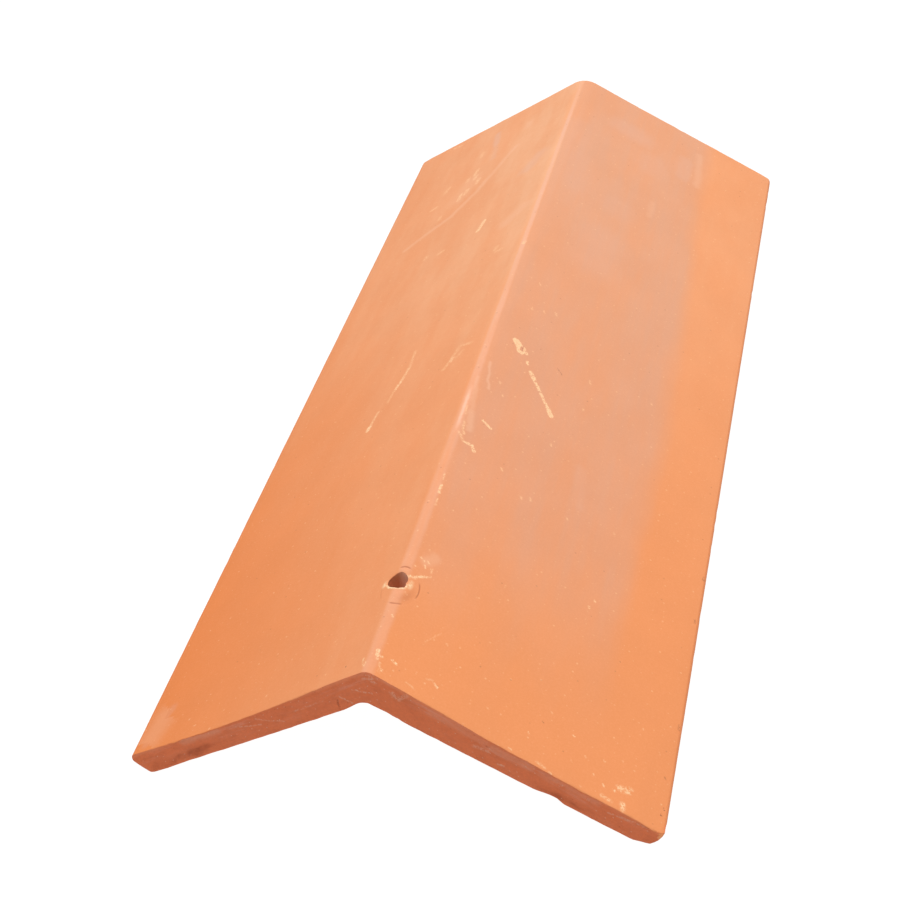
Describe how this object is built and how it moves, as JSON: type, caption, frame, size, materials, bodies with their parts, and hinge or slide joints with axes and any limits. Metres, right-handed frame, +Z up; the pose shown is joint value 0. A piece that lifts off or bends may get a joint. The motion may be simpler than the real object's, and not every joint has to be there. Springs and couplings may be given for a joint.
{
  "type": "angular ridge tile",
  "caption": "Plain angular clay ridge tile: two flat wings meeting at a rounded crest, with a nail hole through the crest near one end.",
  "frame": {"origin": "centre of the tile's box, on the plane of the two long bed arrises that it stands on", "axes": "+Y along the crest, away from the end with the nail hole; +X to the right when looking along +Y; +Z up, from the bed to the crest"},
  "size_m": [0.2032, 0.4626, 0.0664],
  "materials": {
    "fired_clay": "unglazed, matt, orange-red terracotta with a paler bloom"
  },
  "bodies": {
    "root": {"ridge_tile": "fired_clay"}
  },
  "joints": []
}
